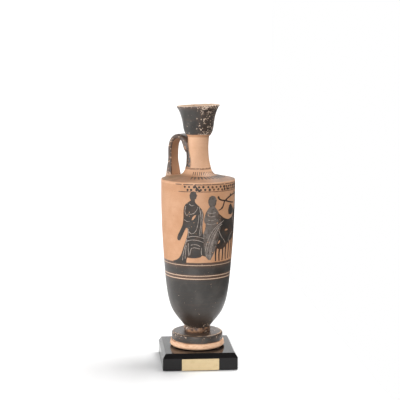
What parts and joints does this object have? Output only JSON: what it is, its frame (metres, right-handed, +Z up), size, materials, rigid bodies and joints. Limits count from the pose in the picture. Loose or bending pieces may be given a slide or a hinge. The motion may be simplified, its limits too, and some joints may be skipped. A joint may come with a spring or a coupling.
{
  "type": "lekythos on a display plinth",
  "caption": "Tall slender clay oil flask with a flaring mouth, narrow neck, strap handle and stepped foot, standing on a bevelled black plinth with a bare brass plate.",
  "frame": {"origin": "centre of the plinth's felt underside, on the table", "axes": "+Z up along the vase's axis; -Y out of the plinth's front face, which carries the plate"},
  "size_m": [0.0764, 0.0772, 0.2682],
  "materials": {
    "clay": "matte",
    "painted_clay": "satin",
    "slip": "matte",
    "black_lacquer": "gloss",
    "felt": "matte",
    "brass": "satin",
    "adhesive": "matte",
    "wax": "matte"
  },
  "bodies": {
    "plinth": {"plinth_block": "black_lacquer", "felt_pad": "felt", "name_plate": "brass", "plate_adhesive": "adhesive", "wax_dabs": "wax"},
    "vase": {"mouth": "painted_clay", "mouth_seam_slip": "slip", "neck": "clay", "neck_seam_slip": "slip", "shoulder": "clay", "shoulder_seam_slip": "slip", "body": "clay", "foot": "painted_clay", "foot_fillet": "painted_clay", "foot_seam_slip": "slip", "handle": "painted_clay", "handle_seam_slip": "slip"}
  },
  "joints": [
    {"name": "vase_lift", "type": "slide", "parent": "plinth", "child": "vase", "axis": [0, 0, 1], "range_m": [0, 0.06]}
  ]
}
